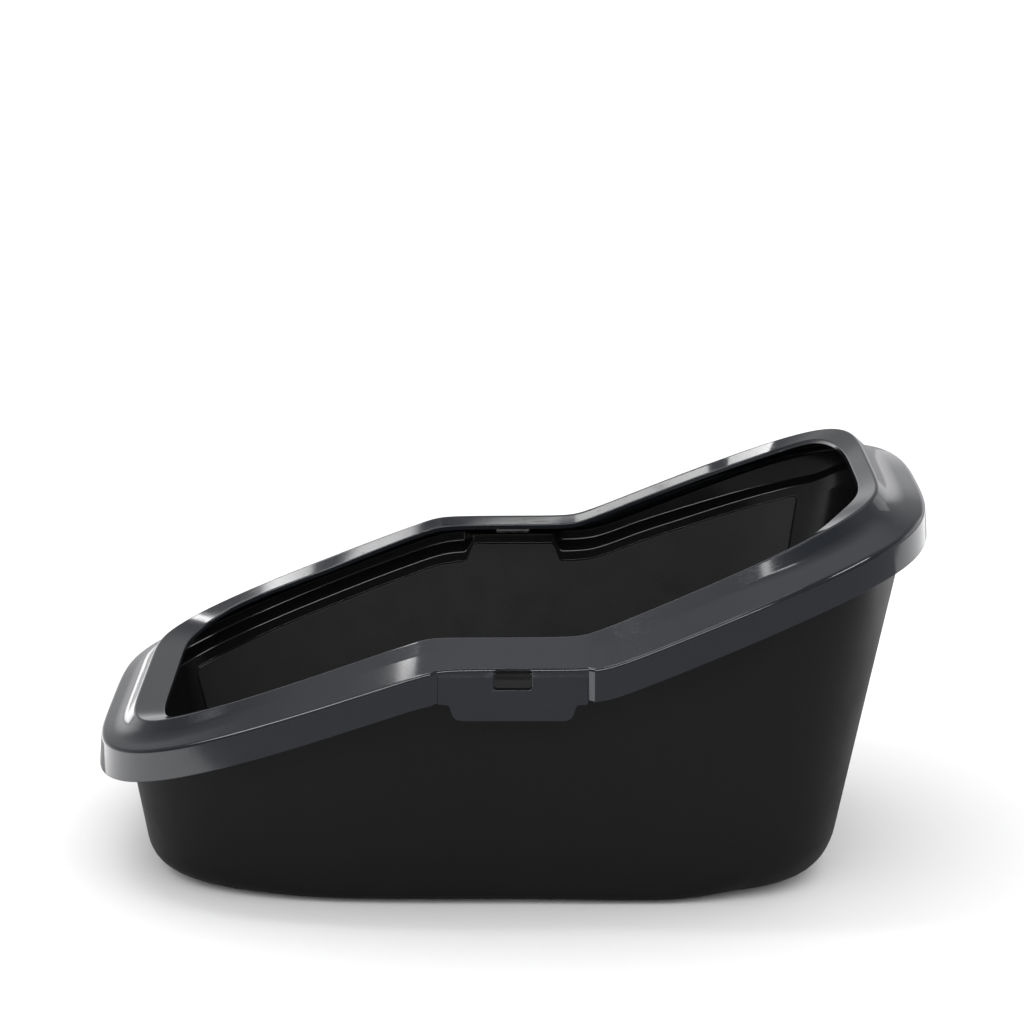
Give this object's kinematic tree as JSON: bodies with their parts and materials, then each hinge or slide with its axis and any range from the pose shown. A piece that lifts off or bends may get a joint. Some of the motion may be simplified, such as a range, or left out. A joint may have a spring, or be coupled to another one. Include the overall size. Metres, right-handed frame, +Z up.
{
  "type": "open cat litter tray with clip-on rim",
  "caption": "Open litter tray with a low front entry, a high sloping back, a lift-off rim held by sprung click tabs, and anti-slip feet.",
  "frame": {"origin": "centre of the whole object's outline on the floor", "axes": "+X from the low entry to the high back, +Y across to the right-hand side as seen from the back, +Z up"},
  "size_m": [0.55, 0.383, 0.262],
  "materials": {
    "tray_plastic": "satin black",
    "rim_plastic": "gloss anthracite",
    "tab_plastic": "gloss anthracite",
    "foot_rubber": "matte black"
  },
  "bodies": {
    "tray": {"tray": "tray_plastic", "foot_front_left": "foot_rubber", "foot_front_right": "foot_rubber", "foot_rear_left": "foot_rubber", "foot_rear_right": "foot_rubber"},
    "rim": {"rim": "rim_plastic"},
    "click_tab_left": {"click_tab_left": "tab_plastic"},
    "click_tab_right": {"click_tab_right": "tab_plastic"}
  },
  "joints": [
    {"name": "rim_lift", "type": "slide", "parent": "tray", "child": "rim", "axis": [0, 0, 1], "range_m": [0, 0.2]},
    {"name": "click_tab_left_hinge", "type": "hinge", "parent": "rim", "child": "click_tab_left", "pos_m": [0.0007, -0.1859, 0.1657], "axis": [-1, 0, 0], "range_deg": [0, 12], "stiffness_Nm_per_rad": 0.05},
    {"name": "click_tab_right_hinge", "type": "hinge", "parent": "rim", "child": "click_tab_right", "pos_m": [0.0007, 0.1859, 0.1657], "axis": [1, 0, 0], "range_deg": [0, 12], "stiffness_Nm_per_rad": 0.05}
  ]
}
